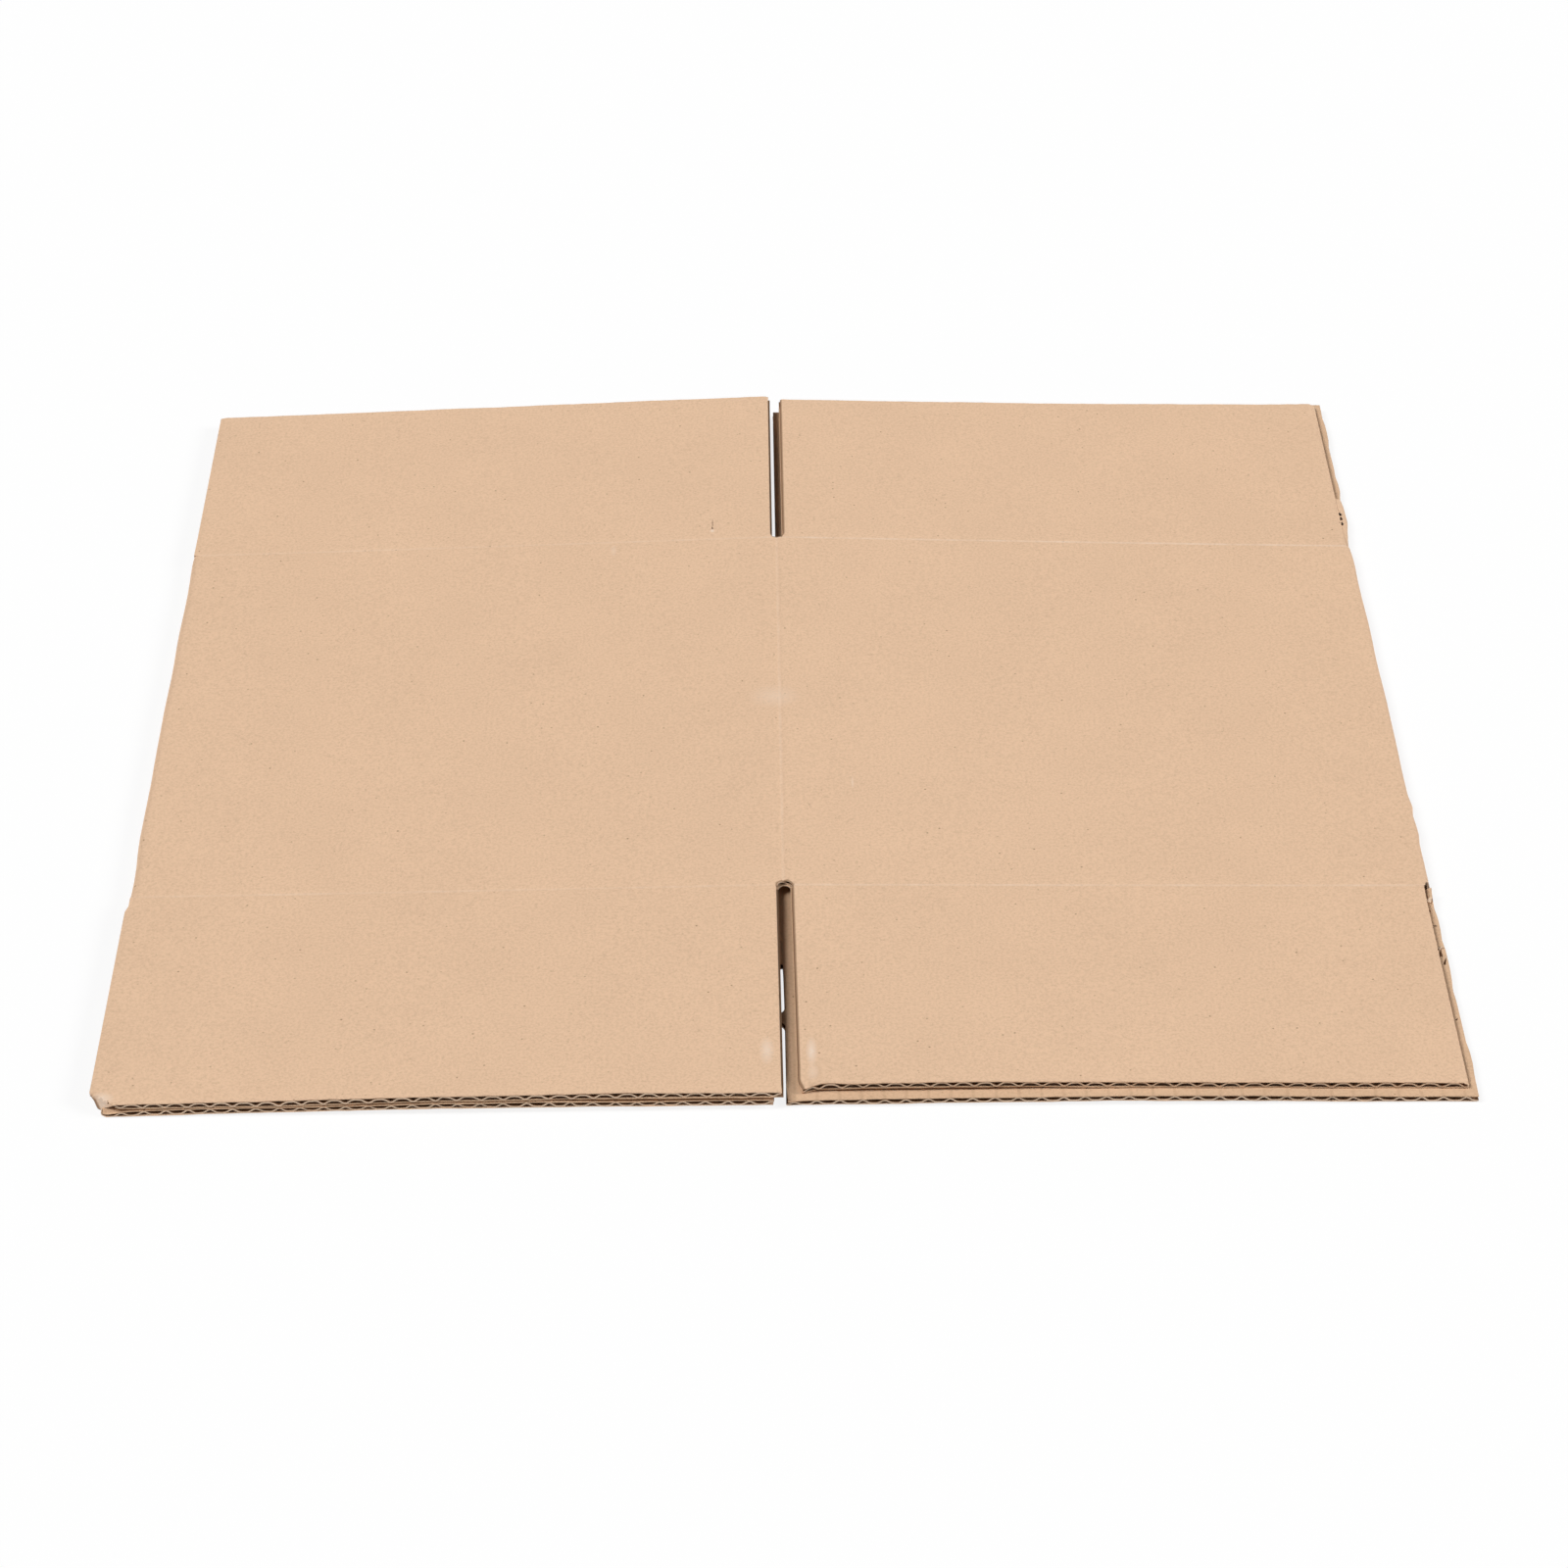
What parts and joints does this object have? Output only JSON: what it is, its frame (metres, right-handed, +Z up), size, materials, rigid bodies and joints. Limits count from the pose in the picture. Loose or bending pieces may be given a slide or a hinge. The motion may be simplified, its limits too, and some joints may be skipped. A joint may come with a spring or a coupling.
{
  "type": "flattened cardboard box",
  "caption": "Slotted shipping carton of single-wall corrugated board, glued and folded flat, with its top flaps free to lift on their scores.",
  "frame": {"origin": "on the floor under the middle of the flat carton", "axes": "+X to the right along the folded width, +Y from the front flaps to the back flaps along the flutes, +Z up"},
  "size_m": [0.4, 0.4, 0.0087],
  "materials": {
    "kraft_board": "uncoated brown kraft paper, matt"
  },
  "bodies": {
    "carton": {"carton": "kraft_board"},
    "front_left_flap": {"front_left_flap": "kraft_board"},
    "front_right_flap": {"front_right_flap": "kraft_board"},
    "back_left_flap": {"back_left_flap": "kraft_board"},
    "back_right_flap": {"back_right_flap": "kraft_board"}
  },
  "joints": [
    {"name": "front_left_fold", "type": "hinge", "parent": "carton", "child": "front_left_flap", "pos_m": [-0.1, -0.1, 0.00703], "axis": [-0.9998, 0, -0.0198], "range_deg": [0, 170]},
    {"name": "front_right_fold", "type": "hinge", "parent": "carton", "child": "front_right_flap", "pos_m": [0.1, -0.1, 0.00706], "axis": [-0.9998, 0, 0.0201], "range_deg": [0, 170]},
    {"name": "back_left_fold", "type": "hinge", "parent": "carton", "child": "back_left_flap", "pos_m": [-0.1, 0.1, 0.00703], "axis": [0.9998, 0, 0.0198], "range_deg": [0, 170]},
    {"name": "back_right_fold", "type": "hinge", "parent": "carton", "child": "back_right_flap", "pos_m": [0.1, 0.1, 0.00706], "axis": [0.9998, 0, -0.0201], "range_deg": [0, 170]}
  ]
}
